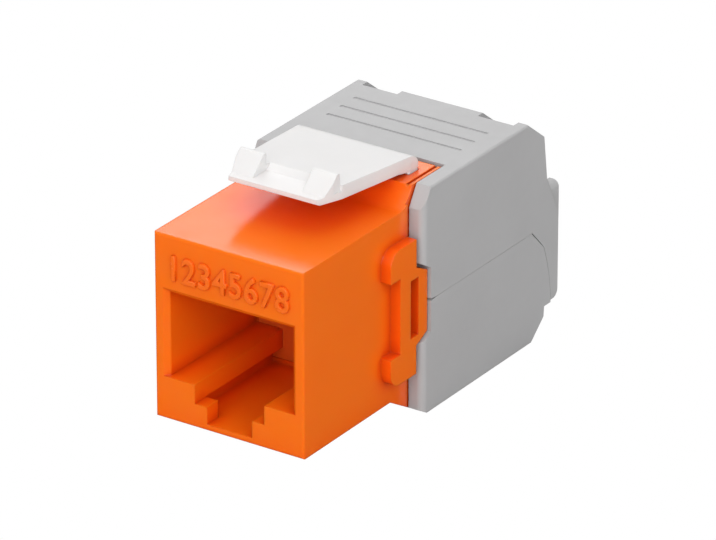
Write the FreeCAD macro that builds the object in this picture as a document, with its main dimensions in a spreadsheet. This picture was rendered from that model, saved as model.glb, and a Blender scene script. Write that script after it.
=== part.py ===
"""Keystone jack of the tool-less type, as a parametric FreeCAD document.

Lengths are in millimetres. Every piece is drawn in one jack frame: X runs across the jack and is zero
in the middle, Y runs back from the front face, and Z runs up from the bottom of the nose. A placement
that all pieces share then puts the origin under the middle of the jack, on the surface it rests on.
"""
import FreeCAD, Part
import math
import os

import Sketcher

SIZES = {
    # nose: the part that fills the panel's opening
    "nose_width": 14.5,
    "nose_height": 16.5,
    "nose_length": 15.0,
    "flare_front": 12.5,
    "flare_angle": 30.0,
    "shoulder_radius": 2.2,
    "shoulder_height": 1.6,
    "ledge_front": 16.0,
    "lug_width": 9.6,
    "nose_round": 0.2,
    "lug_front": 6.9,
    "lug_drop": 1.2,
    "lug_root": 0.3,
    # port for the plug
    "port_width": 12.0,
    "port_floor": 3.8,
    "port_top": 11.3,
    "port_depth": 12.6,
    "port_chamfer": 0.45,
    "channel_width": 6.8,
    "channel_floor": 2.1,
    "slot_width": 4.4,
    "slot_floor": 0.58,
    "lip_thickness": 1.6,
    "catch_width": 8.8,
    # collar: the part behind the nose that carries the latch and the caps
    "collar_rear": 20.3,
    "collar_width": 14.0,
    "collar_play": 0.05,
    "rail_width": 0.3,
    "rail_slot_width": 0.25,
    "rail_slot_depth": 0.5,
    "chamber_width": 11.7,
    "chamber_floor": 1.0,
    "chamber_top": 15.3,
    # side brackets
    "bracket_inset": 0.25,
    "bracket_bar_front": 12.5,
    "ear_front": 11.1,
    "ear_radius": 1.3,
    "ear_rear": 14.85,
    "ear_outer": 6.05,
    "ear_inner": 3.4,
    "loop_rear": 16.45,
    "loop_front": 14.0,
    "loop_bar": 1.3,
    "loop_half_height": 2.75,
    "loop_margin": 0.15,
    "loop_slope": 0.47,
    # caps
    "cap_width": 17.0,
    "cap_height": 20.3,
    "cap_front": 15.45,
    "cap_wall": 1.2,
    "seam_gap": 0.02,
    "plate_front": 20.75,
    "plate_lip": 0.4,
    "arm_bevel_run": 1.1,
    "arm_bevel_drop": 1.8,
    "low_corner_depth": 0.8,
    "low_corner_height": 0.45,
    "notch_rear": 16.6,
    "notch_play": 0.15,
    "notch_slope": 0.6,
    "seam_relief": 0.1,
    "bevel_front": 31.2,
    "bevel_length": 2.6,
    "bevel_drop": 2.0,
    "shoulder_back": 34.3,
    "shoulder_drop": 5.95,
    "slope_end_drop": 9.7,
    "cap_rear": 36.15,
    "cap_rear_drop": 7.38,
    "cap_rear_round": 0.8,
    "jog_front": 31.85,
    "jog_size": 1.9,
    "jog_gap": 0.14,
    "swing_gap": 0.04,
    "low_bevel_front": 32.05,
    "low_bevel_rear": 33.85,
    "low_bevel_drop": 1.55,
    "low_wall_rear": 33.6,
    "low_wall_drop": 2.0,
    "tail_step_height": 0.1,
    "rim_width": 1.0,
    "pad_width": 8.0,
    "rim_notch_advance": 0.75,
    "grip_front": 23.9,
    "grip_pitch": 2.0,
    "grip_count": 3,
    "grip_length": 13.2,
    "grip_width": 0.34,
    "grip_depth": 0.1,
    "hood_margin": 0.3,
    "hood_low_margin": 0.9,
    "hood_rear": 36.5,
    "hood_floor_drop": 0.1,
    "hood_rise": 3.1,
    "hood_front": 34.1,
    "hood_radius": 0.6,
    "hood_ear_width": 0.95,
    "hood_dip": 0.45,
    "front_round": 0.6,
    "edge_round": 0.2,
    # cap hinges
    "hinge_back": 17.6,
    "hinge_rise": 8.3,
    "pin_radius": 0.85,
    "pin_length": 0.8,
    "pin_play": 0.07,
    # cable
    "cable_drop": 1.4,
    "cable_radius": 3.5,
    "cable_play": 0.2,
    "guide_floor_wall": 0.55,
    "guide_height": 10.05,
    "guide_rear": 32.3,
    # keystone latch
    "latch_rear_width": 11.2,
    "latch_front_width": 10.0,
    "latch_lip_width": 8.6,
    "latch_front": 6.3,
    "catch_back": 8.9,
    "latch_thickness": 1.2,
    "latch_lift": 1.45,
    "latch_rise": 0.7,
    "latch_lip_thickness": 0.55,
    "latch_lip_rise": 0.2,
    "latch_lip_length": 0.7,
    "latch_lip_round": 0.3,
    "latch_hollow_run": 0.6,
    "latch_rear_round": 1.2,
    "latch_rear_run": 0.35,
    "latch_rear_overhang": 0.75,
    "latch_heel_front": 2.0,
    "latch_heel_length": 1.3,
    "latch_heel_rise": 0.4,
    "latch_heel_gap": 0.15,
    "latch_heel_height": 0.45,
    "latch_catch_height": 1.0,
    "latch_catch_inner": 2.4,
    "latch_catch_outer": 4.75,
    "latch_catch_top": 0.35,
    "root_back": 18.3,
    "root_depth": 0.35,
    "root_radius": 0.75,
    "root_play": 0.05,
    "neck_width": 0.8,
    # spring contacts and their carrier
    "contact_count": 8,
    "contact_pitch": 1.02,
    "contact_width": 0.36,
    "contact_thickness": 0.3,
    "contact_height": 12.05,
    "contact_corner": 2.6,
    "contact_bend": 0.5,
    "contact_tip_back": 10.8,
    "contact_angle": 29.3,
    "carrier_wall": 1.9,
    "tongue_front": 2.5,
    "tongue_width": 9.7,
    "tongue_above": 0.9,
    "tongue_below": 0.3,
    "groove_width": 0.5,
    "groove_play": 0.02,
    "board_thickness": 1.0,
    "board_gap": 0.1,
    # terminals
    "terminals_in_row": 4,
    "terminal_pitch": 3.2,
    "terminal_back": 24.0,
    "terminal_width": 1.9,
    "terminal_thickness": 0.4,
    "terminal_slot": 0.36,
    "terminal_slot_depth": 2.8,
    "terminal_leg_depth": 0.3,
    "leg_drop": 1.55,
    "terminal_tip_height": 7.6,
    "terminal_play": 0.05,
    "block_half_height": 5.0,
    "block_rear": 27.0,
    "comb_width": 13.2,
    "comb_front": 21.8,
    "comb_height": 3.6,
    "comb_slot_front": 1.4,
    "comb_slot_rear": 0.8,
    "comb_slot_depth": 2.7,
    "wire_width": 1.1,
    "wire_depth": 1.3,
    "fit_gap": 0.1,
}

doc = FreeCAD.newDocument("keystone_jack")
sheet = doc.addObject("Spreadsheet::Sheet", "Sizes")
for row, (alias, number) in enumerate(SIZES.items(), start=1):
    sheet.set("A%d" % row, alias)
    sheet.set("B%d" % row, str(number))
    sheet.setAlias("B%d" % row, alias)
doc.recompute()


class Size:
    """A length that knows its present value and the expression it comes from."""

    def __init__(self, value, text):
        self.value = value
        self.text = text

    @staticmethod
    def of(other):
        if isinstance(other, Size):
            return other
        return Size(float(other), "%.6g" % other)

    def __add__(self, other):
        other = Size.of(other)
        return Size(self.value + other.value, "(%s + %s)" % (self.text, other.text))

    def __sub__(self, other):
        other = Size.of(other)
        return Size(self.value - other.value, "(%s - %s)" % (self.text, other.text))

    def __mul__(self, other):
        other = Size.of(other)
        return Size(self.value * other.value, "(%s * %s)" % (self.text, other.text))

    def __truediv__(self, other):
        other = Size.of(other)
        return Size(self.value / other.value, "(%s / %s)" % (self.text, other.text))

    def __neg__(self):
        return Size(-self.value, "(-1 * %s)" % self.text)

    __radd__ = __add__
    __rmul__ = __mul__

    def __rsub__(self, other):
        return Size.of(other) - self


def size(alias):
    return Size(float(sheet.get(alias)), "Sizes." + alias)


def root(square):
    return Size(math.sqrt(square.value), "sqrt(%s)" % square.text)


def tangent(angle):
    return Size(math.tan(math.radians(angle.value)), "tan(%s * 1 deg)" % angle.text)


def sine(angle):
    return Size(math.sin(math.radians(angle.value)), "sin(%s * 1 deg)" % angle.text)


def cosine(angle):
    return Size(math.cos(math.radians(angle.value)), "cos(%s * 1 deg)" % angle.text)


ZERO = Size(0.0, "0")
cuts = []

# ---- values that several pieces share ----
half_nose = size("nose_width") / 2
half_cap = size("cap_height") / 2
collar_top = size("nose_height") + size("shoulder_height")
cap_top = collar_top + size("collar_play")
seam = cap_top - half_cap
cap_floor = seam - half_cap
collar_floor = cap_floor + size("collar_play")
half_collar = size("collar_width") / 2
arm_inner = half_collar + size("fit_gap")
arm_wall = size("cap_width") / 2 - arm_inner
bracket_face = size("cap_width") / 2 - size("bracket_inset")
hinge_back = size("hinge_back")
upper_hinge = seam + size("hinge_rise")
lower_hinge = seam - size("hinge_rise")
plate_reach = root((size("plate_front") - hinge_back) * (size("plate_front") - hinge_back)
                   + (cap_top - upper_hinge) * (cap_top - upper_hinge))
jog_rear = size("jog_front") + size("jog_size")
jog_floor = seam - size("jog_size")
swing_radius = root((jog_rear - hinge_back) * (jog_rear - hinge_back)
                    + (jog_floor - lower_hinge) * (jog_floor - lower_hinge))
cable_centre = seam - size("cable_drop")
cable_hole = size("cable_radius") + size("cable_play")
board_front = size("port_depth") + size("carrier_wall") + size("board_gap")
board_rear = board_front + size("board_thickness")
root_height = collar_top - size("root_depth")
contact_start = -size("contact_pitch") * (size("contact_count") - 1) / 2
terminal_start = -size("terminal_pitch") * (size("terminals_in_row") - 1) / 2
leg_rise = size("contact_height") - seam - size("leg_drop")
terminal_foot = leg_rise - size("terminal_thickness") / 2
comb_gap = size("groove_play")


# ---- drawing helpers ----
def bind(thing, prop, length):
    """Tie one property of an object to an expression on the sheet."""
    thing.setExpression(prop, length.text)


def place(thing, across=ZERO):
    """Move a piece from the jack frame to the part's own frame."""
    bind(thing, "Placement.Base.x", across)
    bind(thing, "Placement.Base.y", -size("hood_rear") / 2)
    bind(thing, "Placement.Base.z", -cap_floor)


def new_body(label, across=ZERO):
    body = doc.addObject("PartDesign::Body", label)
    body.Label = label
    place(body, across)
    return body


def origin_plane(body, role):
    return [item for item in body.Origin.OriginFeatures if item.Role == role][0]


def new_sketch(body, name, role, offset=None):
    """Sketch on one of the body's origin planes, moved along that plane's normal by offset."""
    sketch = body.newObject("Sketcher::SketchObject", name)
    sketch.AttachmentSupport = [(origin_plane(body, role), "")]
    sketch.MapMode = "FlatFace"
    if offset is not None:
        bind(sketch, "AttachmentOffset.Base.z", offset)
    return sketch


def pin_down(sketch, geometry, point, spot):
    """Hold one point of a sketch at a place given by two sizes."""
    for kind, length in (("DistanceX", spot[0]), ("DistanceY", spot[1])):
        index = sketch.addConstraint(Sketcher.Constraint(kind, -1, 1, geometry, point, length.value))
        bind(sketch, "Constraints[%d]" % index, length)


def arc_between(first, last, radius, left):
    """Arc between two points with its centre on the left or the right, always run anticlockwise."""
    start = FreeCAD.Vector(first[0].value, first[1].value, 0)
    end = FreeCAD.Vector(last[0].value, last[1].value, 0)
    middle = (start + end) * 0.5
    chord = end - start
    aside = FreeCAD.Vector(-chord.y, chord.x, 0).normalize()
    height = math.sqrt(max(radius.value ** 2 - (chord.Length / 2) ** 2, 0.0))
    if not left:
        aside = aside * -1
    top = middle + aside * (height - radius.value)
    if left:
        return Part.Arc(start, top, end)
    return Part.Arc(end, top, start)


def draw_outline(sketch, corners):
    """Closed outline. A corner is (x, y), or (x, y, radius, left) where an arc leads on from it."""
    corners = [tuple(Size.of(value) if index < 3 else value for index, value in enumerate(corner))
               for corner in corners]
    pieces = []
    for index, corner in enumerate(corners):
        after = corners[(index + 1) % len(corners)]
        if len(corner) == 4:
            curve = arc_between(corner, after, corner[2], corner[3])
            made = sketch.addGeometry(curve, False)
            forward = corner[3]
            limit = sketch.addConstraint(Sketcher.Constraint("Radius", made, corner[2].value))
            bind(sketch, "Constraints[%d]" % limit, corner[2])
        else:
            line = Part.LineSegment(FreeCAD.Vector(corner[0].value, corner[1].value, 0),
                                    FreeCAD.Vector(after[0].value, after[1].value, 0))
            made = sketch.addGeometry(line, False)
            forward = True
        pieces.append((made, 1 if forward else 2, 2 if forward else 1))
    for index, (made, first, last) in enumerate(pieces):
        following = pieces[(index + 1) % len(pieces)]
        sketch.addConstraint(Sketcher.Constraint("Coincident", made, last, following[0], following[1]))
        pin_down(sketch, made, first, corners[index])
    return sketch


def draw_box(sketch, low_x, low_y, high_x, high_y):
    return draw_outline(sketch, [(low_x, low_y), (high_x, low_y), (high_x, high_y), (low_x, high_y)])


def draw_circle(sketch, centre_x, centre_y, radius):
    spot = FreeCAD.Vector(centre_x.value, centre_y.value, 0)
    made = sketch.addGeometry(Part.Circle(spot, FreeCAD.Vector(0, 0, 1), radius.value), False)
    limit = sketch.addConstraint(Sketcher.Constraint("Radius", made, radius.value))
    bind(sketch, "Constraints[%d]" % limit, radius)
    pin_down(sketch, made, 3, (centre_x, centre_y))
    return sketch


def pad(body, sketch, length, symmetric=False, reverse=False):
    feature = body.newObject("PartDesign::Pad", sketch.Name + "_pad")
    feature.Profile = sketch
    bind(feature, "Length", length)
    feature.Reversed = reverse
    if symmetric:
        feature.SideType = "Symmetric"
    return feature


def pocket(body, sketch, length, symmetric=False, reverse=False):
    """Cut that has to remove something: its volume is compared once the document is built."""
    feature = body.newObject("PartDesign::Pocket", sketch.Name + "_cut")
    feature.Profile = sketch
    bind(feature, "Length", length)
    feature.Reversed = reverse
    if symmetric:
        feature.SideType = "Symmetric"
    cuts.append(feature)
    return feature


def mirror(body, features, name):
    """Repeat features on the other side of the jack's middle plane."""
    feature = body.newObject("PartDesign::Mirrored", name)
    feature.Originals = features
    feature.MirrorPlane = (origin_plane(body, "YZ_Plane"), [""])
    body.Tip = feature
    return feature


def repeat(body, features, name, axis, pitch, count):
    """Repeat features along an axis of the body's origin."""
    feature = body.newObject("PartDesign::LinearPattern", name)
    feature.Originals = features
    feature.Direction = (origin_plane(body, axis), [""])
    feature.Mode = "Spacing"
    bind(feature, "Offset", pitch)
    bind(feature, "Occurrences", count)
    body.Tip = feature
    return feature


def round_edges(body, radius, chosen, name, kind="PartDesign::Fillet"):
    """Fillet or chamfer the edges of the body so far that the test picks."""
    doc.recompute()
    base = body.Tip
    names = ["Edge%d" % (index + 1) for index, edge in enumerate(base.Shape.Edges) if chosen(edge)]
    feature = body.newObject(kind, name)
    feature.Base = (base, names)
    bind(feature, "Radius" if kind.endswith("Fillet") else "Size", radius)
    body.Tip = feature
    return feature


def near(first, second, slack=0.01):
    return abs(first - second) < slack


# ---- housing: nose, port, collar and brackets in one moulding ----
def draw_bracket(body, reach):
    """Two round-nosed ears joined by a bar, with a trapezoid loop that runs back into the caps' notch."""
    sketch = new_sketch(body, "bracket", "YZ_Plane", half_collar - reach)
    radius = size("ear_radius")
    front = size("ear_front")
    bar = size("bracket_bar_front")
    rear = size("ear_rear")
    loop = size("loop_rear")
    outer = size("ear_outer")
    inner = size("ear_inner")
    half_loop = size("loop_half_height")
    loop_root = half_loop + (loop - rear) * size("loop_slope")
    return draw_outline(sketch, [
        (front, seam - outer + radius, radius, True),
        (front + radius, seam - outer),
        (rear, seam - outer),
        (rear, seam - loop_root),
        (loop, seam - half_loop),
        (loop, seam + half_loop),
        (rear, seam + loop_root),
        (rear, seam + outer),
        (front + radius, seam + outer, radius, True),
        (front, seam + outer - radius),
        (front, seam + inner),
        (bar, seam + inner),
        (bar, seam - inner),
        (front, seam - inner),
    ])


def make_housing():
    body = new_body("housing")
    shoulder = size("shoulder_radius")
    lift = size("shoulder_height")
    arc_run = root(shoulder * shoulder - (shoulder - lift) * (shoulder - lift))
    flare_rear = size("flare_front") + (-collar_floor) / tangent(size("flare_angle"))
    profile = new_sketch(body, "side_profile", "YZ_Plane")
    draw_outline(profile, [
        (ZERO, ZERO),
        (size("flare_front"), ZERO),
        (flare_rear, collar_floor),
        (size("collar_rear"), collar_floor),
        (size("collar_rear"), collar_top),
        (size("ledge_front"), collar_top, shoulder, False),
        (size("ledge_front") - arc_run, size("nose_height")),
        (ZERO, size("nose_height")),
    ])
    pad(body, profile, size("nose_width"), symmetric=True)

    waist = new_sketch(body, "collar_waist", "XY_Plane", collar_floor - 1)
    draw_box(waist, half_collar, size("nose_length"), half_nose + 1, size("collar_rear") + 1)
    waist_cut = pocket(body, waist, size("cap_height") + 2, reverse=True)
    mirror(body, [waist_cut], "collar_waist_both")

    def nose_rim(edge):
        return edge.BoundBox.YMax < 0.01
    round_edges(body, size("nose_round"), nose_rim, "nose_edges")

    pins = new_sketch(body, "hinge_pins", "YZ_Plane")
    draw_circle(pins, hinge_back, upper_hinge, size("pin_radius"))
    draw_circle(pins, hinge_back, lower_hinge, size("pin_radius"))
    pad(body, pins, (half_collar + size("pin_length")) * 2, symmetric=True)

    reach = arm_wall / 2
    bracket = draw_bracket(body, reach)
    bracket_pad = pad(body, bracket, bracket_face - half_collar + reach)
    window = new_sketch(body, "bracket_window", "YZ_Plane", half_nose)
    half_window = size("loop_half_height") - size("loop_margin")
    draw_box(window, size("loop_front"), seam - half_window, size("loop_rear") - size("loop_bar"),
             seam + half_window)
    window_cut = pocket(body, window, bracket_face - half_nose + 1, reverse=True)
    mirror(body, [bracket_pad, window_cut], "bracket_both")

    port = new_sketch(body, "port", "XZ_Plane")
    half_port = size("port_width") / 2
    half_channel = size("channel_width") / 2
    draw_outline(port, [
        (-half_port, size("port_floor")),
        (-half_channel, size("port_floor")),
        (-half_channel, size("channel_floor")),
        (half_channel, size("channel_floor")),
        (half_channel, size("port_floor")),
        (half_port, size("port_floor")),
        (half_port, size("port_top")),
        (-half_port, size("port_top")),
    ])
    pocket(body, port, size("port_depth"))

    slot = new_sketch(body, "latch_slot", "XZ_Plane")
    half_slot = size("slot_width") / 2
    draw_box(slot, -half_slot, size("slot_floor"), half_slot, size("channel_floor"))
    pocket(body, slot, size("port_depth"))

    catch = new_sketch(body, "latch_catch", "XZ_Plane", -size("lip_thickness"))
    half_catch = size("catch_width") / 2
    draw_box(catch, -half_catch, size("slot_floor"), half_catch, size("channel_floor"))
    pocket(body, catch, size("port_depth") - size("lip_thickness"))

    chamber = new_sketch(body, "rear_chamber", "XZ_Plane", -size("collar_rear"))
    half_chamber = size("chamber_width") / 2
    draw_box(chamber, -half_chamber, size("chamber_floor"), half_chamber, size("chamber_top"))
    pocket(body, chamber, size("collar_rear") - size("port_depth"), reverse=True)

    tongue = new_sketch(body, "tongue_seat", "XZ_Plane", -(size("tongue_front") - size("fit_gap")))
    half_tongue = size("tongue_width") / 2 + size("fit_gap") / 2
    tongue_top = size("contact_height") + size("tongue_above") + size("fit_gap") / 2
    draw_box(tongue, -half_tongue, size("port_top"), half_tongue, tongue_top)
    pocket(body, tongue, size("port_depth") - size("tongue_front") + size("fit_gap"))

    groove = new_sketch(body, "latch_groove", "YZ_Plane")
    draw_circle(groove, size("root_back"), root_height, size("root_radius") + size("root_play"))
    pocket(body, groove, size("latch_rear_width") + size("fit_gap") * 2, symmetric=True)
    rail = new_sketch(body, "rail_slot", "XY_Plane", collar_top)
    rail_inner = half_collar - size("rail_width") - size("rail_slot_width")
    draw_box(rail, rail_inner, size("ledge_front"), half_collar - size("rail_width"),
             size("collar_rear") + 1)
    rail_cut = pocket(body, rail, size("rail_slot_depth"))
    mirror(body, [rail_cut], "rail_slot_both")

    lug = new_sketch(body, "panel_lug", "YZ_Plane")
    draw_outline(lug, [
        (size("lug_front"), size("lug_root")),
        (size("lug_front"), ZERO),
        (size("catch_back") - size("latch_catch_top"), -size("lug_drop")),
        (size("catch_back"), -size("lug_drop")),
        (size("catch_back"), size("lug_root")),
    ])
    pad(body, lug, size("lug_width"), symmetric=True)

    def port_rim(edge):
        box = edge.BoundBox
        at_front = box.YMax < 0.01
        upright = near(abs(box.XMin), half_port.value) and near(box.XMin, box.XMax)
        across = near(box.ZMin, size("port_top").value) and near(box.ZMin, box.ZMax)
        inside = box.ZMax < size("port_top").value + 0.01
        return at_front and inside and (upright or across)
    round_edges(body, size("port_chamfer"), port_rim, "port_edges", "PartDesign::Chamfer")
    return body


# ---- keystone latch: sprung plate with two catches, hinged in the collar's groove ----
def make_latch():
    body = new_body("keystone_latch")
    thickness = size("latch_thickness")
    back = size("root_back")
    rear_top = collar_top + size("latch_lift")
    catch = size("catch_back")
    slope = size("latch_rise") / (back - catch)
    front = size("latch_front")
    lip_top = rear_top + size("latch_lip_rise")
    rear = back + size("latch_rear_overhang")
    hollow = catch + size("latch_hollow_run")
    heel = collar_top + size("latch_heel_gap")
    profile = new_sketch(body, "plate", "YZ_Plane")
    draw_outline(profile, [
        (front, lip_top - size("latch_lip_thickness") + size("latch_lip_round") / 2),
        (front + size("latch_lip_round"), lip_top - size("latch_lip_thickness")),
        (catch + size("latch_lip_round"), rear_top + size("latch_rise") - thickness),
        (back - size("latch_heel_front"), collar_top + size("latch_heel_rise")),
        (back - size("latch_heel_front") + size("latch_heel_length"), heel),
        (rear, heel),
        (rear, heel + size("latch_heel_height"), size("latch_rear_round"), True),
        (back - size("latch_rear_run"), rear_top),
        (hollow, rear_top + slope * (back - hollow)),
        (catch, lip_top),
        (front, lip_top),
    ])
    pad(body, profile, size("latch_rear_width"), symmetric=True)

    catches = new_sketch(body, "catches", "YZ_Plane", size("latch_catch_inner"))
    crest = rear_top + size("latch_rise") + size("latch_catch_height")
    draw_outline(catches, [
        (front + size("latch_lip_length"), lip_top - size("latch_lip_thickness") / 2),
        (catch, lip_top - size("latch_lip_thickness") / 2),
        (catch, crest),
        (catch - size("latch_catch_top"), crest),
        (front + size("latch_lip_length"), lip_top),
    ])
    catch_pad = pad(body, catches, size("latch_catch_outer") - size("latch_catch_inner"))
    mirror(body, [catch_pad], "catches_both")

    shoulders = new_sketch(body, "plate_shoulders", "YZ_Plane", size("latch_catch_inner"))
    draw_outline(shoulders, [
        (catch, lip_top - size("latch_lip_thickness") / 2),
        (hollow, lip_top - size("latch_lip_thickness") / 2),
        (hollow, rear_top + slope * (back - hollow)),
        (catch, rear_top + size("latch_rise")),
    ])
    shoulder_pad = pad(body, shoulders, size("latch_rear_width") / 2 - size("latch_catch_inner"))
    mirror(body, [shoulder_pad], "plate_shoulders_both")

    plan = new_sketch(body, "plan_taper", "XY_Plane", collar_top)
    half_rear = size("latch_rear_width") / 2
    draw_outline(plan, [
        (half_rear, back),
        (size("latch_front_width") / 2, catch),
        (size("latch_lip_width") / 2, front),
        (size("latch_lip_width") / 2, front - 1),
        (half_rear + 1, front - 1),
        (half_rear + 1, back),
    ])
    plan_cut = pocket(body, plan, crest - collar_top + 1, reverse=True)
    mirror(body, [plan_cut], "plan_taper_both")

    neck = new_sketch(body, "neck", "YZ_Plane")
    half_neck = size("neck_width") / 2
    draw_box(neck, back - half_neck, root_height, back + half_neck, rear_top - thickness / 2)
    pad(body, neck, size("latch_rear_width"), symmetric=True)
    pivot = new_sketch(body, "root", "YZ_Plane")
    draw_circle(pivot, back, root_height, size("root_radius"))
    pad(body, pivot, size("latch_rear_width"), symmetric=True)
    return body


# ---- caps ----
def cut_pin_holes(body, height):
    holes = new_sketch(body, "hinge_holes", "YZ_Plane")
    draw_circle(holes, hinge_back, height, size("pin_radius") + size("pin_play"))
    reach = half_collar + size("pin_length") + size("fit_gap")
    pocket(body, holes, reach * 2, symmetric=True)


def on_side_face(edge):
    box = edge.BoundBox
    return near(box.XMin, box.XMax) and near(abs(box.XMin), size("cap_width").value / 2)


def round_arm_corners(body):
    """Cut that rounds the outer front corners of both arms over their whole height."""
    half = size("cap_width") / 2
    front = size("cap_front")
    radius = size("front_round")
    corner = new_sketch(body, "arm_corner", "XY_Plane", cap_floor - 1)
    draw_outline(corner, [
        (half - radius, front - 1),
        (half + 1, front - 1),
        (half + 1, front + radius),
        (half, front + radius, radius, False),
        (half - radius, front),
    ])
    corner_cut = pocket(body, corner, size("cap_height") + 2, reverse=True)
    mirror(body, [corner_cut], "arm_corner_both")


def make_upper_cap():
    body = new_body("upper_cap")
    gap = size("seam_gap") / 2
    notch_half = size("loop_half_height") + size("notch_play")
    notch_root = notch_half + (size("notch_rear") - size("cap_front")) * size("notch_slope")
    upper_jog_rear = jog_rear + size("swing_gap")
    upper_jog_floor = jog_floor
    swing = root((upper_jog_rear - hinge_back) * (upper_jog_rear - hinge_back)
                 + (upper_jog_floor - lower_hinge) * (upper_jog_floor - lower_hinge))
    tail_floor = seam - size("cap_rear_drop")
    tail_front = hinge_back + root(swing * swing - (tail_floor - lower_hinge) * (tail_floor - lower_hinge))
    bevel_rear = size("bevel_front") + size("bevel_length")
    heel = size("cap_rear_round")
    profile = new_sketch(body, "side_profile", "YZ_Plane")
    draw_outline(profile, [
        (size("notch_rear"), seam + gap + size("seam_relief")),
        (hinge_back, seam + gap),
        (size("jog_front") + size("jog_gap"), seam + gap),
        (upper_jog_rear, upper_jog_floor, swing, False),
        (tail_front, tail_floor),
        (size("cap_rear") - heel, tail_floor, heel, True),
        (size("cap_rear"), tail_floor + heel),
        (size("cap_rear"), cap_top - size("slope_end_drop")),
        (size("shoulder_back"), cap_top - size("shoulder_drop")),
        (bevel_rear, cap_top - size("bevel_drop")),
        (size("bevel_front"), cap_top),
        (size("cap_front") + size("arm_bevel_run"), cap_top),
        (size("cap_front"), cap_top - size("arm_bevel_drop")),
        (size("cap_front"), seam + notch_root),
        (size("notch_rear"), seam + notch_half),
    ])
    pad(body, profile, size("cap_width"), symmetric=True)

    def rim(edge):
        middle = edge.CenterOfMass
        clear_of_seam = middle.z > seam.value + 0.5 or middle.y > size("cap_rear").value - heel.value
        behind_arm = middle.y > hinge_back.value
        return on_side_face(edge) and clear_of_seam and behind_arm
    round_edges(body, size("edge_round"), rim, "outer_edges")
    round_arm_corners(body)

    half_hood = size("cap_width") / 2 - size("hood_margin")
    half_low = size("cap_width") / 2 - size("hood_low_margin")
    radius = size("hood_radius")
    hood_floor = seam - size("hood_floor_drop")
    hood_top = seam + size("hood_rise")
    saddle = hood_top - size("hood_dip")
    half_dip = half_hood - size("hood_ear_width")
    skirt = new_sketch(body, "hood_skirt", "XZ_Plane", -size("hood_rear"))
    draw_box(skirt, -half_low, tail_floor, half_low, hood_floor)
    pad(body, skirt, size("hood_rear") - tail_front - size("swing_gap"))
    hood_reaches = (
        ("hood", hood_floor, tail_front + size("swing_gap")),
        ("hood_top", cap_top - size("slope_end_drop"), size("hood_front")),
    )
    for name, low, front in hood_reaches:
        hood = new_sketch(body, name, "XZ_Plane", -size("hood_rear"))
        draw_outline(hood, [
            (-half_hood, low),
            (half_hood, low),
            (half_hood, hood_top - radius, radius, True),
            (half_hood - radius, hood_top),
            (half_dip, hood_top),
            (half_dip, saddle),
            (-half_dip, saddle),
            (-half_dip, hood_top),
            (radius - half_hood, hood_top, radius, True),
            (-half_hood, hood_top - radius),
        ])
        pad(body, hood, size("hood_rear") - front)

    wall = size("cap_wall")
    inner_rear = size("cap_rear") - wall
    inside = new_sketch(body, "inside", "YZ_Plane")
    lip_rear = hinge_back + root(plate_reach * plate_reach
                                 - (cap_top - wall - upper_hinge) * (cap_top - wall - upper_hinge))
    draw_outline(inside, [
        (size("cap_front") - 1, tail_floor - 1),
        (inner_rear, tail_floor - 1),
        (inner_rear, cap_top - size("slope_end_drop")),
        (size("shoulder_back") - wall, cap_top - size("shoulder_drop")),
        (bevel_rear - wall, cap_top - size("bevel_drop") - wall / 2),
        (size("bevel_front") - wall, cap_top - wall),
        (lip_rear, cap_top - wall),
        (size("plate_front"), cap_top - size("plate_lip")),
        (size("plate_front"), cap_top + 1),
        (size("cap_front") - 1, cap_top + 1),
    ])
    pocket(body, inside, arm_inner * 2, symmetric=True)

    cable = new_sketch(body, "cable_mouth", "XZ_Plane", -(size("hood_rear") + 1))
    draw_outline(cable, [
        (-cable_hole, tail_floor - 1),
        (cable_hole, tail_floor - 1),
        (cable_hole, cable_centre, cable_hole, True),
        (ZERO, cable_centre + cable_hole, cable_hole, True),
        (-cable_hole, cable_centre),
    ])
    pocket(body, cable, size("hood_rear") + 1 - size("shoulder_back") + wall + size("fit_gap"), reverse=True)

    cut_pin_holes(body, upper_hinge)

    grips = new_sketch(body, "grip", "XY_Plane", cap_top)
    half_grip = size("grip_length") / 2
    draw_box(grips, -half_grip, size("grip_front") - size("grip_width") / 2, half_grip,
             size("grip_front") + size("grip_width") / 2)
    grip_cut = pocket(body, grips, size("grip_depth"))
    repeat(body, [grip_cut], "grips", "Y_Axis", size("grip_pitch"), size("grip_count"))

    notch = new_sketch(body, "rim_notch", "YZ_Plane", size("pad_width") / 2)
    advance = size("rim_notch_advance")
    drop_per_run = size("bevel_drop") / size("bevel_length")
    draw_outline(notch, [
        (size("bevel_front") - advance, cap_top),
        (bevel_rear, cap_top - (size("bevel_length") + advance) * drop_per_run),
        (bevel_rear + 1, cap_top - (size("bevel_length") + advance) * drop_per_run),
        (bevel_rear + 1, cap_top + 1),
        (size("bevel_front") - advance, cap_top + 1),
    ])
    notch_cut = pocket(body, notch, size("cap_width") / 2 - size("rim_width") - size("pad_width") / 2,
                       reverse=True)
    mirror(body, [notch_cut], "rim_notch_both")
    return body


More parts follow.
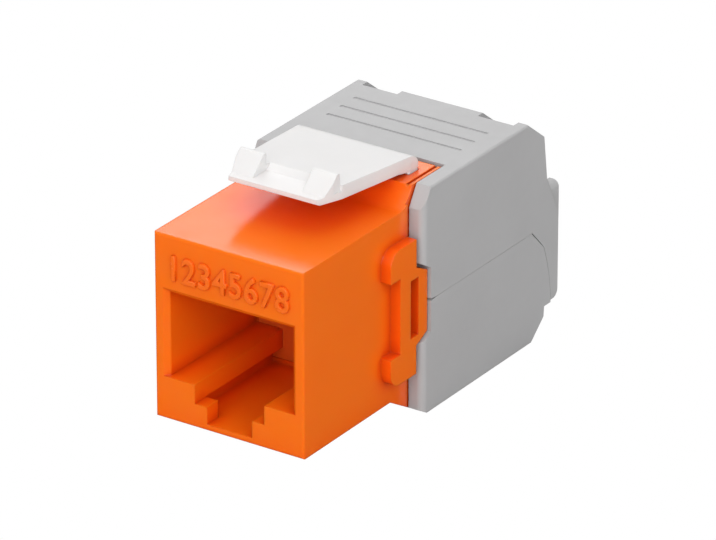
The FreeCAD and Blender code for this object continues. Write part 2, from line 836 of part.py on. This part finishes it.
def make_lower_cap():
    body = new_body("lower_cap")
    gap = size("seam_gap") / 2
    notch_half = size("loop_half_height") + size("notch_play")
    notch_root = notch_half + (size("notch_rear") - size("cap_front")) * size("notch_slope")
    tail_floor = seam - size("cap_rear_drop") - size("tail_step_height")
    low_wall_top = seam - size("low_wall_drop")
    tail_rear = hinge_back + root(swing_radius * swing_radius
                                  - (tail_floor - lower_hinge) * (tail_floor - lower_hinge))
    profile = new_sketch(body, "side_profile", "YZ_Plane")
    draw_outline(profile, [
        (hinge_back, seam - gap),
        (size("notch_rear"), seam - gap - size("seam_relief")),
        (size("notch_rear"), seam - notch_half),
        (size("cap_front"), seam - notch_root),
        (size("cap_front"), cap_floor + size("low_corner_height")),
        (size("cap_front") + size("low_corner_depth"), cap_floor),
        (size("low_bevel_front"), cap_floor),
        (size("low_bevel_rear"), cap_floor + size("low_bevel_drop")),
        (size("low_bevel_rear") + size("tail_step_height"), tail_floor),
        (tail_rear, tail_floor, swing_radius, True),
        (jog_rear, jog_floor),
        (size("jog_front"), seam - gap),
    ])
    pad(body, profile, size("cap_width"), symmetric=True)

    def rim(edge):
        middle = edge.CenterOfMass
        behind_arm = hinge_back.value < middle.y < size("low_bevel_rear").value - 0.1
        return on_side_face(edge) and behind_arm and middle.z < tail_floor.value
    round_edges(body, size("edge_round"), rim, "outer_edges")
    round_arm_corners(body)

    wall = size("cap_wall")
    inside = new_sketch(body, "inside", "YZ_Plane")
    lip_rear = hinge_back + root(plate_reach * plate_reach
                                 - (cap_top - wall - upper_hinge) * (cap_top - wall - upper_hinge))
    inner_rear = size("low_wall_rear") - wall
    draw_outline(inside, [
        (size("cap_front") - 1, seam + 1),
        (size("cap_front") - 1, cap_floor - 1),
        (size("plate_front"), cap_floor - 1),
        (size("plate_front"), cap_floor + size("plate_lip")),
        (lip_rear, cap_floor + wall),
        (size("low_bevel_front") - wall / 2, cap_floor + wall),
        (inner_rear, cap_floor + size("low_bevel_drop") + wall / 2),
        (inner_rear, seam + 1),
    ])
    pocket(body, inside, arm_inner * 2, symmetric=True)

    rear = new_sketch(body, "rear_relief", "YZ_Plane")
    draw_outline(rear, [
        (inner_rear - 1, low_wall_top),
        (size("hood_rear"), low_wall_top),
        (size("hood_rear"), seam + 1),
        (inner_rear - 1, seam + 1),
    ])
    pocket(body, rear, arm_inner * 2, symmetric=True)
    trim = new_sketch(body, "rear_trim", "YZ_Plane")
    draw_outline(trim, [
        (size("low_wall_rear"), tail_floor - 1),
        (size("hood_rear"), tail_floor - 1),
        (size("hood_rear"), seam + 1),
        (size("low_wall_rear"), seam + 1),
    ])
    pocket(body, trim, arm_inner * 2, symmetric=True)

    cable = new_sketch(body, "cable_mouth", "XZ_Plane", -size("hood_rear"))
    draw_circle(cable, ZERO, cable_centre, cable_hole)
    pocket(body, cable, size("hood_rear") - inner_rear + 1, reverse=True)
    cut_pin_holes(body, lower_hinge)
    return body


# ---- contact carrier, its wires and the board ----
def make_carrier():
    body = new_body("contact_carrier")
    gap = size("fit_gap")
    half = size("chamber_width") / 2 - gap / 2
    low = size("chamber_floor") + gap / 2
    high = size("chamber_top") - gap / 2
    block = new_sketch(body, "block", "XZ_Plane", -size("port_depth"))
    draw_box(block, -half, low, half, high)
    pad(body, block, size("carrier_wall"), reverse=True)
    tongue = new_sketch(body, "tongue", "XZ_Plane", -size("tongue_front"))
    wire_top = size("contact_height") + size("contact_thickness") / 2 + size("groove_play")
    tongue_low = size("contact_height") - size("tongue_below")
    half_tongue = size("tongue_width") / 2
    draw_box(tongue, -half_tongue, tongue_low, half_tongue, size("contact_height") + size("tongue_above"))
    pad(body, tongue, size("port_depth") - size("tongue_front"), reverse=True)
    groove = new_sketch(body, "groove", "XZ_Plane", -(size("tongue_front") - 1))
    half_groove = size("groove_width") / 2
    draw_box(groove, contact_start - half_groove, tongue_low - 1, contact_start + half_groove, wire_top)
    groove_cut = pocket(body, groove, size("port_depth") - size("tongue_front") + 1)
    repeat(body, [groove_cut], "grooves", "X_Axis", size("contact_pitch"), size("contact_count"))
    hole = new_sketch(body, "wire_hole", "XZ_Plane", -(size("port_depth") - 1))
    draw_box(hole, contact_start - half_groove, tongue_low, contact_start + half_groove, wire_top)
    hole_cut = pocket(body, hole, size("carrier_wall") + 2)
    repeat(body, [hole_cut], "wire_holes", "X_Axis", size("contact_pitch"), size("contact_count"))
    return body


def make_spring_contact(number):
    """Stamped strip: a straight tail through the carrier and the board, and a sprung arm in the port."""
    across = contact_start + size("contact_pitch") * (number - 1)
    body = new_body("spring_contact_%d" % number, across)
    tail = board_rear + size("fit_gap") / 2
    height = size("contact_height")
    corner = size("contact_corner")
    angle = size("contact_angle")
    bend = size("contact_bend")
    setback = bend / tangent(angle / 2)
    arm = size("contact_tip_back") - corner
    spine = new_sketch(body, "spine", "YZ_Plane")
    points = [
        (tail, height),
        (corner + setback, height),
        (corner + setback * cosine(angle), height - setback * sine(angle)),
        (corner + arm, height - arm * tangent(angle)),
    ]
    spots = [FreeCAD.Vector(spot[0].value, spot[1].value, 0) for spot in points]
    spine.addGeometry(Part.LineSegment(spots[0], spots[1]), False)
    curve = arc_between(points[1], points[2], bend, True)
    made = spine.addGeometry(curve, False)
    spine.addGeometry(Part.LineSegment(spots[2], spots[3]), False)
    spine.addConstraint(Sketcher.Constraint("Coincident", 0, 2, made, 1))
    spine.addConstraint(Sketcher.Constraint("Coincident", made, 2, 2, 1))
    pin_down(spine, 0, 1, points[0])
    pin_down(spine, 0, 2, points[1])
    pin_down(spine, 2, 1, points[2])
    pin_down(spine, 2, 2, points[3])
    limit = spine.addConstraint(Sketcher.Constraint("Radius", made, bend.value))
    bind(spine, "Constraints[%d]" % limit, bend)
    section = new_sketch(body, "wire", "XZ_Plane", -tail)
    half = size("contact_width") / 2
    half_thick = size("contact_thickness") / 2
    draw_box(section, -half, height - half_thick, half, height + half_thick)
    pipe = body.newObject("PartDesign::AdditivePipe", "wire_pipe")
    pipe.Profile = section
    pipe.Spine = (spine, [])
    return body


def make_board():
    body = new_body("circuit_board")
    gap = size("fit_gap")
    half = size("chamber_width") / 2 - gap
    outline = new_sketch(body, "outline", "XZ_Plane", -board_front)
    draw_box(outline, -half, size("chamber_floor") + gap, half, size("chamber_top") - gap)
    pad(body, outline, size("board_thickness"), reverse=True)
    hole = new_sketch(body, "wire_hole", "XZ_Plane", -(board_front - 1))
    corner = root(size("contact_width") * size("contact_width")
                  + size("contact_thickness") * size("contact_thickness")) / 2
    draw_circle(hole, contact_start, size("contact_height"), corner + size("fit_gap") / 2)
    hole_cut = pocket(body, hole, size("board_thickness") + 2)
    repeat(body, [hole_cut], "wire_holes", "X_Axis", size("contact_pitch"), size("contact_count"))
    legs = new_sketch(body, "leg_hole", "XZ_Plane", -(board_front - 1))
    side = size("terminal_thickness") / 2 + size("terminal_play")
    for height in (seam + leg_rise, seam - leg_rise):
        draw_box(legs, terminal_start - side, height - side, terminal_start + side, height + side)
    leg_cut = pocket(body, legs, size("board_thickness") + 2)
    repeat(body, [leg_cut], "leg_holes", "X_Axis", size("terminal_pitch"), size("terminals_in_row"))
    return body


# ---- terminals, their block, the wire combs and the cable guide ----
def make_terminal_block():
    body = new_body("terminal_block")
    gap = size("fit_gap")
    half_front = size("chamber_width") / 2 - gap
    neck_rear = size("collar_rear") + gap
    neck = new_sketch(body, "neck", "XZ_Plane", -(board_rear + gap))
    draw_box(neck, -half_front, size("chamber_floor") + gap, half_front, size("chamber_top") - gap)
    pad(body, neck, neck_rear - board_rear, reverse=True)
    wide = new_sketch(body, "wide_part", "XZ_Plane", -neck_rear)
    half_wide = arm_inner - gap * 2
    draw_box(wide, -half_wide, seam - size("block_half_height"), half_wide, seam + size("block_half_height"))
    pad(body, wide, size("block_rear") - neck_rear, reverse=True)

    play = size("terminal_play")
    legs = new_sketch(body, "leg_tunnel", "XZ_Plane", -board_rear)
    side = size("terminal_thickness") / 2 + play
    for height in (seam + leg_rise, seam - leg_rise):
        draw_box(legs, terminal_start - side, height - side, terminal_start + side, height + side)
    leg_cut = pocket(body, legs, size("terminal_back") - board_rear)
    repeat(body, [leg_cut], "leg_tunnels", "X_Axis", size("terminal_pitch"), size("terminals_in_row"))
    slots = new_sketch(body, "blade_slot", "XZ_Plane", -(size("terminal_back") - side))
    half_blade = size("terminal_width") / 2 + play
    foot = terminal_foot - play
    top = size("block_half_height") + 1
    draw_box(slots, terminal_start - half_blade, seam + foot, terminal_start + half_blade, seam + top)
    draw_box(slots, terminal_start - half_blade, seam - top, terminal_start + half_blade, seam - foot)
    slot_cut = pocket(body, slots, side * 2)
    repeat(body, [slot_cut], "blade_slots", "X_Axis", size("terminal_pitch"), size("terminals_in_row"))
    return body


def make_terminal(number):
    """Slotted blade that grips a wire, with a leg forward into the board; the first four point up."""
    in_row = int(float(sheet.get("terminals_in_row")))
    way = 1 if number <= in_row else -1
    across = terminal_start + size("terminal_pitch") * ((number - 1) % in_row)
    body = new_body("idc_contact_%d" % number, across)
    half = size("terminal_width") / 2
    half_slot = size("terminal_slot") / 2
    thickness = size("terminal_thickness")
    tip = seam + size("terminal_tip_height") * way
    foot = seam + terminal_foot * way
    throat = seam + (size("terminal_tip_height") - size("terminal_slot_depth")) * way
    lead = size("terminal_slot")
    mouth = seam + (size("terminal_tip_height") - lead) * way
    blade = new_sketch(body, "blade", "XZ_Plane", -size("terminal_back"))
    draw_outline(blade, [
        (-half, foot),
        (half, foot),
        (half, mouth),
        (half - lead, tip),
        (half_slot + lead / 2, tip),
        (half_slot, mouth),
        (half_slot, throat),
        (-half_slot, throat),
        (-half_slot, mouth),
        (-half_slot - lead / 2, tip),
        (lead - half, tip),
        (-half, mouth),
    ])
    pad(body, blade, thickness, symmetric=True)
    leg = new_sketch(body, "leg", "XZ_Plane", -size("terminal_back"))
    height = seam + leg_rise * way
    draw_box(leg, -thickness / 2, height - thickness / 2, thickness / 2, height + thickness / 2)
    pad(body, leg, size("terminal_back") - board_front - size("terminal_leg_depth"))
    return body


def make_comb(label, way):
    """Comb that the cap carries: its troughs press the wires into the slotted blades."""
    body = new_body(label)
    half = size("comb_width") / 2
    ceiling = seam + (half_cap - size("cap_wall") - comb_gap) * way
    face = ceiling - size("comb_height") * way
    block = new_sketch(body, "block", "XY_Plane", ceiling)
    draw_box(block, -half, size("comb_front"), half, size("block_rear"))
    pad(body, block, size("comb_height"), reverse=way > 0)

    slot = new_sketch(body, "blade_slot", "XY_Plane", face)
    half_slot = size("terminal_width") / 2 + size("terminal_play") * 5
    draw_box(slot, terminal_start - half_slot, size("terminal_back") - size("comb_slot_front"),
             terminal_start + half_slot, size("terminal_back") + size("comb_slot_rear"))
    slot_cut = pocket(body, slot, size("comb_slot_depth"), reverse=way > 0)
    repeat(body, [slot_cut], "blade_slots", "X_Axis", size("terminal_pitch"), size("terminals_in_row"))

    trough = new_sketch(body, "wire_trough", "XY_Plane", face)
    half_wire = size("wire_width") / 2
    draw_box(trough, terminal_start - half_wire, size("comb_front") - 1, terminal_start + half_wire,
             size("block_rear") + 1)
    trough_cut = pocket(body, trough, size("wire_depth"), reverse=way > 0)
    repeat(body, [trough_cut], "wire_troughs", "X_Axis", size("terminal_pitch"), size("terminals_in_row"))
    return body


def make_cable_guide():
    """Frame with a round bore that the cable's jacket comes in through."""
    body = new_body("cable_guide")
    half = arm_inner - size("fit_gap") * 1.5
    low = cable_centre - size("cable_radius") - size("guide_floor_wall")
    front = size("block_rear") + size("fit_gap") / 2
    frame = new_sketch(body, "frame", "XZ_Plane", -front)
    draw_box(frame, -half, low, half, low + size("guide_height"))
    pad(body, frame, size("guide_rear") - front, reverse=True)
    bore = new_sketch(body, "cable_bore", "XZ_Plane", -(front - 1))
    draw_circle(bore, ZERO, cable_centre, size("cable_radius"))
    pocket(body, bore, size("guide_rear") - front + 2)
    return body


# ---- build, check and export ----
pieces = [make_housing(), make_latch(), make_upper_cap(), make_lower_cap(), make_carrier(), make_board(),
          make_terminal_block(), make_cable_guide(), make_comb("upper_wire_comb", 1),
          make_comb("lower_wire_comb", -1)]
for number in range(1, int(float(sheet.get("contact_count"))) + 1):
    pieces.append(make_spring_contact(number))
for number in range(1, int(float(sheet.get("terminals_in_row"))) * 2 + 1):
    pieces.append(make_terminal(number))
doc.recompute()

for item in doc.Objects:
    if "Invalid" in item.State or "Error" in item.State:
        raise RuntimeError("%s did not build: %s" % (item.Name, item.State))
for cut in cuts:
    if cut.BaseFeature.Shape.Volume - cut.Shape.Volume < 0.001:
        raise RuntimeError("%s of %s removes nothing" % (cut.Name, cut.BaseFeature.Name))
os.makedirs("parts", exist_ok=True)
for piece in pieces:
    if piece.Shape.isNull() or not piece.Shape.isValid() or len(piece.Shape.Solids) != 1:
        raise RuntimeError("%s is not one sound solid" % piece.Label)
    piece.Shape.exportStep("parts/%s.step" % piece.Label)
    box = piece.Shape.BoundBox
    print("%-18s x %6.2f %6.2f  y %6.2f %6.2f  z %6.2f %6.2f  volume %8.2f" % (
        piece.Label, box.XMin, box.XMax, box.YMin, box.YMax, box.ZMin, box.ZMax, piece.Shape.Volume))
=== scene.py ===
"""Looks of the keystone jack: finishes, pin numbers, camera, light and floor. Lengths in metres."""
import math
import bpy
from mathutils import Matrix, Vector


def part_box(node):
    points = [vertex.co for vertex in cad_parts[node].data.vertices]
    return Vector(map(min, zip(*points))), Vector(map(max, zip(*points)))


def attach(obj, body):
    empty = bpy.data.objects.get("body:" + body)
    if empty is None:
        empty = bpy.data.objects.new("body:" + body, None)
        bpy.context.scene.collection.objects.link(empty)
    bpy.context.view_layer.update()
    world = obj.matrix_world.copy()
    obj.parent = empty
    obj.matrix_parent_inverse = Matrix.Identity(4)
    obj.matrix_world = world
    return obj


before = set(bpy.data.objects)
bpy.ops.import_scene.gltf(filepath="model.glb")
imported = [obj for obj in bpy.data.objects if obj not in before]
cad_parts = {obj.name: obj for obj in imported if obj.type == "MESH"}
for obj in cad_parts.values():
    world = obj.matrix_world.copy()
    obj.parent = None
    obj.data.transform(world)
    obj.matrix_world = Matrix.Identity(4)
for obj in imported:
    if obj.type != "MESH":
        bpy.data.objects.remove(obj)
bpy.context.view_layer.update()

MM = 0.001
collection = bpy.context.scene.collection


# ---- node helpers ----
def noise(material, scale, detail=3.0, roughness=0.5):
    """Noise in the object's own coordinates, with its scale in cycles per metre."""
    nodes = material.node_tree.nodes
    coordinates = nodes.new("ShaderNodeTexCoord")
    texture = nodes.new("ShaderNodeTexNoise")
    texture.inputs["Scale"].default_value = scale
    texture.inputs["Detail"].default_value = detail
    texture.inputs["Roughness"].default_value = roughness
    material.node_tree.links.new(coordinates.outputs["Object"], texture.inputs["Vector"])
    return texture.outputs["Fac"]


def remap(material, value, low, high, from_low=0.3, from_high=0.7):
    """Stretch one range of a value to another. Noise mostly keeps between 0.3 and 0.7."""
    node = material.node_tree.nodes.new("ShaderNodeMapRange")
    node.inputs["From Min"].default_value = from_low
    node.inputs["From Max"].default_value = from_high
    node.inputs["To Min"].default_value = low
    node.inputs["To Max"].default_value = high
    material.node_tree.links.new(value, node.inputs["Value"])
    return node.outputs["Result"]


def blend_colours(material, factor, first, second):
    node = material.node_tree.nodes.new("ShaderNodeMix")
    node.data_type = "RGBA"
    node.inputs["A"].default_value = (*first, 1.0)
    node.inputs["B"].default_value = (*second, 1.0)
    material.node_tree.links.new(factor, node.inputs["Factor"])
    return node.outputs["Result"]


def bump(material, height, distance, strength, base=None):
    node = material.node_tree.nodes.new("ShaderNodeBump")
    node.inputs["Distance"].default_value = distance
    node.inputs["Strength"].default_value = strength
    material.node_tree.links.new(height, node.inputs["Height"])
    if base is not None:
        material.node_tree.links.new(base, node.inputs["Normal"])
    return node.outputs["Normal"]


def soft_edges(material, radius):
    """Normal that is rounded over the edges, as on a moulding, where no face is truly sharp."""
    node = material.node_tree.nodes.new("ShaderNodeBevel")
    node.samples = 4
    node.inputs["Radius"].default_value = radius
    return node.outputs["Normal"]


# ---- finishes ----
COLOUR_DRIFT = 140.0
GLOSS_PATCHES = 900.0
SCATTER_SCALE = 1.2 * MM
METAL_DRIFT = 1500.0
METAL_PATCHES = 6000.0
METAL_GRAIN = 22000.0
METAL_GRAIN_DEPTH = 0.004 * MM


def new_material(name, scale, detail, colour, shade):
    """Material with one shader, whose colour drifts slowly between two close tones."""
    material = bpy.data.materials.new(name)
    material.use_nodes = True
    nodes = material.node_tree.nodes
    nodes.clear()
    output = nodes.new("ShaderNodeOutputMaterial")
    shader = nodes.new("ShaderNodeBsdfPrincipled")
    links = material.node_tree.links
    links.new(shader.outputs["BSDF"], output.inputs["Surface"])
    drift = remap(material, noise(material, scale, detail), 0.0, 1.0)
    links.new(blend_colours(material, drift, colour, shade), shader.inputs["Base Color"])
    return material, shader


def plastic(name, colour, shade, roughness, spread, grain, grain_depth, bevel=0.08 * MM,
            subsurface=0.0, radius=(1.0, 0.4, 0.2), specular=0.5):
    """Moulded plastic: slow colour drift, uneven gloss, spark-eroded grain and softened edges."""
    material, shader = new_material(name, COLOUR_DRIFT, 2.0, colour, shade)
    links = material.node_tree.links
    patches = noise(material, GLOSS_PATCHES, 4.0)
    links.new(remap(material, patches, roughness - spread, roughness + spread), shader.inputs["Roughness"])
    fine = noise(material, grain, 4.0, 0.6)
    links.new(bump(material, fine, grain_depth, 1.0, soft_edges(material, bevel)), shader.inputs["Normal"])
    shader.inputs["Specular IOR Level"].default_value = specular
    shader.inputs["IOR"].default_value = 1.5
    if subsurface:
        shader.inputs["Subsurface Weight"].default_value = subsurface
        shader.inputs["Subsurface Radius"].default_value = radius
        shader.inputs["Subsurface Scale"].default_value = SCATTER_SCALE
    return material


def metal(name, colour, shade, roughness):
    """Stamped metal with a fine grain and uneven gloss."""
    material, shader = new_material(name, METAL_DRIFT, 3.0, colour, shade)
    links = material.node_tree.links
    links.new(remap(material, noise(material, METAL_PATCHES, 4.0), roughness - 0.06, roughness + 0.1),
              shader.inputs["Roughness"])
    links.new(bump(material, noise(material, METAL_GRAIN, 2.0), METAL_GRAIN_DEPTH, 0.6),
              shader.inputs["Normal"])
    shader.inputs["Metallic"].default_value = 1.0
    return material


def paint_shade_in_hollows(material, colour, reach):
    """Painted shade: another colour where faces stand close together, redder in wide hollows as painted
    bounce light and darker in narrow ones as painted shade.
    """
    tree = material.node_tree
    shader = next(node for node in tree.nodes if node.type == "BSDF_PRINCIPLED")
    open_colour = shader.inputs["Base Color"].links[0].from_socket
    occlusion = tree.nodes.new("ShaderNodeAmbientOcclusion")
    occlusion.samples = 8
    occlusion.inputs["Distance"].default_value = reach
    node = tree.nodes.new("ShaderNodeMix")
    node.data_type = "RGBA"
    tree.links.new(remap(material, occlusion.outputs["AO"], 0.0, 1.0, 0.35, 0.9), node.inputs["Factor"])
    node.inputs["A"].default_value = (*colour, 1.0)
    tree.links.new(open_colour, node.inputs["B"])
    tree.links.new(node.outputs["Result"], shader.inputs["Base Color"])


ORANGE = plastic("orange_gloss", (0.97, 0.168, 0.005), (0.98, 0.176, 0.006), 0.20, 0.04, 4200.0, 0.0040 * MM,
                 bevel=0.20 * MM, subsurface=0.25, radius=(1.0, 0.25, 0.05), specular=0.56)
# Painted shade on the housing: redder in wide hollows such as the port, and darker in narrow crevices such
# as beside the bracket and along the cap.
paint_shade_in_hollows(ORANGE, (1.0, 0.090, 0.001), 6.0 * MM)
paint_shade_in_hollows(ORANGE, (0.68, 0.062, 0.002), 1.5 * MM)
NUMBERS = plastic("orange_numbers", (0.94, 0.150, 0.005), (0.95, 0.156, 0.006), 0.28, 0.05, 5200.0,
                  0.0012 * MM, bevel=0.04 * MM)
WHITE = plastic("white_satin", (0.76, 0.75, 0.745), (0.785, 0.775, 0.77), 0.38, 0.06, 9000.0, 0.0020 * MM,
                bevel=0.10 * MM, subsurface=0.15, radius=(1.0, 0.9, 0.8))
GREY = plastic("grey_matte", (0.455, 0.452, 0.455), (0.475, 0.472, 0.475), 0.50, 0.06, 13000.0, 0.0060 * MM,
               bevel=0.04 * MM, specular=0.75)
CARRIER = plastic("carrier_plastic", (0.72, 0.10, 0.008), (0.75, 0.11, 0.01), 0.35, 0.06, 9000.0, 0.002 * MM)
BOARD = plastic("board_mask", (0.012, 0.16, 0.05), (0.018, 0.19, 0.065), 0.34, 0.06, 7000.0, 0.003 * MM)
BLOCK = plastic("block_plastic", (0.74, 0.74, 0.72), (0.78, 0.78, 0.76), 0.45, 0.06, 9000.0, 0.003 * MM)
GUIDE = plastic("guide_plastic", (0.70, 0.70, 0.68), (0.74, 0.74, 0.72), 0.50, 0.06, 9000.0, 0.003 * MM)
COMB = plastic("comb_plastic", (0.66, 0.66, 0.64), (0.70, 0.70, 0.68), 0.45, 0.06, 9000.0, 0.003 * MM)
GOLD = metal("contact_gold", (0.90, 0.62, 0.24), (0.84, 0.55, 0.20), 0.22)
TIN = metal("tinned_blade", (0.72, 0.71, 0.68), (0.66, 0.65, 0.63), 0.30)

FINISHES = {
    "housing": ORANGE, "keystone_latch": WHITE, "upper_cap": GREY, "lower_cap": GREY,
    "contact_carrier": CARRIER, "circuit_board": BOARD, "terminal_block": BLOCK, "cable_guide": GUIDE,
    "upper_wire_comb": COMB, "lower_wire_comb": COMB, "spring_contact": GOLD, "idc_contact": TIN,
}
for name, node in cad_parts.items():
    for slot in node.material_slots:
        slot.material = FINISHES[name.rstrip("_12345678")]

# ---- pin numbers above the port, raised a little as moulded marks are ----
TEXT_WIDTH = 11.4 * MM
TEXT_HEIGHT = 2.3 * MM
TEXT_BASE = 14.85 * MM
TEXT_RELIEF = 0.18 * MM
TEXT_EDGE = 0.04 * MM
nose_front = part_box("housing")[0][1]
number_font = bpy.data.curves.new("pin_numbers", "FONT")
number_font.body = "12345678"
number_font.size = TEXT_HEIGHT
number_font.space_character = 1.1
number_font.extrude = TEXT_RELIEF
number_font.bevel_depth = TEXT_EDGE
number_font.bevel_resolution = 2
number_font.align_x = "CENTER"
number_font.materials.append(NUMBERS)
numbers = bpy.data.objects.new("pin_numbers", number_font)
collection.objects.link(numbers)
bpy.context.view_layer.update()
numbers.scale = (TEXT_WIDTH / numbers.dimensions.x, TEXT_HEIGHT / numbers.dimensions.y, 1)
numbers.rotation_euler = (math.pi / 2, 0, 0)
numbers.location = (0, nose_front, TEXT_BASE)
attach(numbers, "housing")

# ---- floor and world: white to the camera, dim to glossy rays, soft to the rest ----
FLOOR_REACH = 1.5
FLOOR_GREY = 0.55
DIM_FLOOR = 0.04
DIM_WORLD = 0.04
SOFT_WORLD = 0.56
WHITE_LIGHT = (1, 1, 1, 1)


def shine(tree, kind, strength):
    """White light of one strength, from a surface or from the world."""
    node = tree.nodes.new(kind)
    node.inputs["Color"].default_value = WHITE_LIGHT
    node.inputs["Strength"].default_value = strength
    return node.outputs[0]


def show_by_ray(tree, output, plain, seen, glossy):
    """Join three shaders: seen for camera rays, glossy for glossy rays, and plain for the others."""
    path = tree.nodes.new("ShaderNodeLightPath")
    last = plain
    for ray, shader in (("Is Camera Ray", seen), ("Is Glossy Ray", glossy)):
        mix = tree.nodes.new("ShaderNodeMixShader")
        tree.links.new(path.outputs[ray], mix.inputs["Fac"])
        tree.links.new(last, mix.inputs[1])
        tree.links.new(shader, mix.inputs[2])
        last = mix.outputs["Shader"]
    tree.links.new(last, output.inputs["Surface"])


floor_mesh = bpy.data.meshes.new("floor")
floor_mesh.from_pydata([(-FLOOR_REACH, -FLOOR_REACH, 0), (FLOOR_REACH, -FLOOR_REACH, 0),
                        (FLOOR_REACH, FLOOR_REACH, 0), (-FLOOR_REACH, FLOOR_REACH, 0)], [], [(0, 1, 2, 3)])
floor = bpy.data.objects.new("floor", floor_mesh)
collection.objects.link(floor)
floor_material = bpy.data.materials.new("floor_white")
floor_material.use_nodes = True
tree = floor_material.node_tree
tree.nodes.clear()
output = tree.nodes.new("ShaderNodeOutputMaterial")
diffuse = tree.nodes.new("ShaderNodeBsdfDiffuse")
diffuse.inputs["Color"].default_value = (FLOOR_GREY, FLOOR_GREY, FLOOR_GREY, 1)
show_by_ray(tree, output, diffuse.outputs["BSDF"], shine(tree, "ShaderNodeEmission", 1.0),
            shine(tree, "ShaderNodeEmission", DIM_FLOOR))
floor_mesh.materials.append(floor_material)

world = bpy.data.worlds.new("studio")
bpy.context.scene.world = world
world.use_nodes = True
tree = world.node_tree
tree.nodes.clear()
output = tree.nodes.new("ShaderNodeOutputWorld")
show_by_ray(tree, output, shine(tree, "ShaderNodeBackground", SOFT_WORLD),
            shine(tree, "ShaderNodeBackground", 1.0), shine(tree, "ShaderNodeBackground", DIM_WORLD))

# ---- light: each softbox's place, width, height and power ----
LIGHT_AIM = Vector((0, 0, 0.01))
SOFTBOXES = {
    "low_strip": ((0.2795, -0.3847, 0.1645), 0.8, 0.3, 1.04),
    "front": ((0, -0.383, 0.331), 0.3, 0.3, 0.28),
    "front_right": ((0.271, -0.271, 0.331), 0.3, 0.3, 0.46),
    "back_left": ((-0.271, 0.271, 0.331), 0.3, 0.3, 0.62),
    "overhead": ((0, 0, 0.5), 0.4, 0.4, 0.60),
}


def look_at(thing, place, aim):
    """Put a light or a camera in its place and point it at another."""
    thing.location = place
    thing.rotation_euler = (aim - Vector(place)).to_track_quat("-Z", "Y").to_euler()


for name, (place, width, height, power) in SOFTBOXES.items():
    light = bpy.data.lights.new(name, "AREA")
    light.shape = "RECTANGLE"
    light.size = width
    light.size_y = height
    light.energy = power
    softbox = bpy.data.objects.new(name, light)
    collection.objects.link(softbox)
    look_at(softbox, place, LIGHT_AIM)
    softbox.visible_camera = False

# ---- camera: 34 degrees to the right of the front and 25 degrees up, with a long lens ----
CAMERA_PLACE = Vector((280.298, -417.976, 247.629)) * MM
CAMERA_AIM = Vector((2.028, -2.658, 11.532)) * MM
SENSOR_WIDTH = 36.0
FOCAL_LENGTH = 340.36
camera_data = bpy.data.cameras.new("camera")
camera = bpy.data.objects.new("camera", camera_data)
collection.objects.link(camera)
look_at(camera, CAMERA_PLACE, CAMERA_AIM)
camera_data.sensor_width = SENSOR_WIDTH
camera_data.lens = FOCAL_LENGTH
camera_data.clip_start = 0.01
camera_data.clip_end = 10.0
bpy.context.scene.camera = camera
bpy.context.scene.view_settings.view_transform = "Standard"
bpy.context.scene.view_settings.look = "None"
